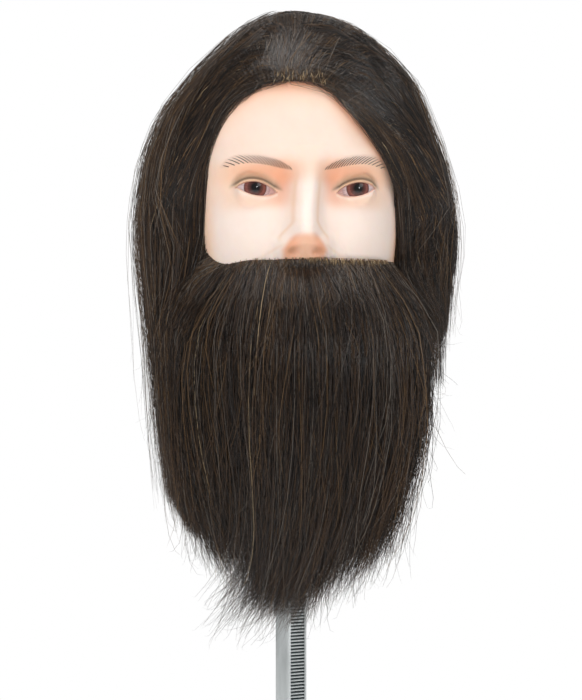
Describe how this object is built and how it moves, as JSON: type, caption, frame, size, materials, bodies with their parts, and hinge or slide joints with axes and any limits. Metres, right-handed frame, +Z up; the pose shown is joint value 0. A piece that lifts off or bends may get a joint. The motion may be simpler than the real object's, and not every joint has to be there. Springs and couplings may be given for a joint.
{
  "type": "mannequin training head",
  "caption": "Mannequin training head with long dark hair and a full beard, on a turning peg at the top of a serrated-bar table clamp.",
  "frame": {"origin": "centre of the seat pad's underside, which rests on the table top", "axes": "+Z up along the serrated bar, the face looks along -Y, +X towards the head's own left"},
  "size_m": [0.2017, 0.2299, 0.654],
  "materials": {
    "skin_vinyl": "matte",
    "hair": "satin",
    "eye_acrylic": "gloss",
    "black_nylon": "satin",
    "rubber": "matte",
    "zinc_steel": "satin",
    "grey_casting": "satin",
    "brass": "satin"
  },
  "bodies": {
    "frame": {"serrated_bar": "zinc_steel", "peg_holder": "grey_casting", "holder_pin": "zinc_steel", "friction_washer": "black_nylon", "pivot_bolt": "zinc_steel", "bolt_washer": "zinc_steel", "spring_washer": "zinc_steel", "upper_jaw": "grey_casting", "jaw_pin_lower": "zinc_steel", "jaw_pin_upper": "zinc_steel", "seat_pad": "rubber", "bar_end_cap": "black_nylon", "end_cap_screw": "zinc_steel"},
    "peg": {"peg": "black_nylon"},
    "head": {"head_shell": "skin_vinyl", "eye_left": "eye_acrylic", "eye_right": "eye_acrylic", "neck_plate": "black_nylon", "neck_screw_1": "zinc_steel", "neck_screw_2": "zinc_steel", "neck_screw_3": "zinc_steel", "neck_screw_4": "zinc_steel", "hair_crown": "hair", "hair_left": "hair", "hair_right": "hair", "hair_back": "hair", "beard": "hair"},
    "sliding_arm": {"sliding_arm": "grey_casting", "brake_shoe": "zinc_steel", "shoe_pin": "zinc_steel", "thread_bush": "brass"},
    "foot": {"swivel_foot": "zinc_steel", "foot_pad": "rubber", "foot_clip": "zinc_steel"},
    "spindle": {"clamp_spindle": "zinc_steel"},
    "tommy_bar": {"tommy_bar": "zinc_steel", "tommy_cap_left": "rubber", "tommy_cap_right": "rubber"}
  },
  "joints": [
    {"name": "peg_turn", "type": "hinge", "parent": "frame", "child": "peg", "pos_m": [0.01952, -0.04385, 0.17], "axis": [0, 0, 1], "continuous": true},
    {"name": "head_lift", "type": "slide", "parent": "peg", "child": "head", "axis": [0, 0, 1], "range_m": [0, 0.09]},
    {"name": "arm_slide", "type": "slide", "parent": "frame", "child": "sliding_arm", "axis": [0, 0, 1], "range_m": [-0.021, 0.027]},
    {"name": "foot_travel", "type": "slide", "parent": "sliding_arm", "child": "foot", "axis": [0, 0, 1], "range_m": [-0.0112, 0.0112]},
    {"name": "spindle_turn", "type": "hinge", "parent": "foot", "child": "spindle", "pos_m": [0, 0, -0.1], "axis": [0, 0, 1], "range_deg": [-1620, 1620]},
    {"name": "tommy_slide", "type": "slide", "parent": "spindle", "child": "tommy_bar", "axis": [0.9135, 0.4067, 0], "range_m": [-0.02, 0.02]}
  ],
  "couplings": [
    {"joint": "spindle_turn", "follows": "foot_travel", "rad_per_m": 2513.3}
  ]
}
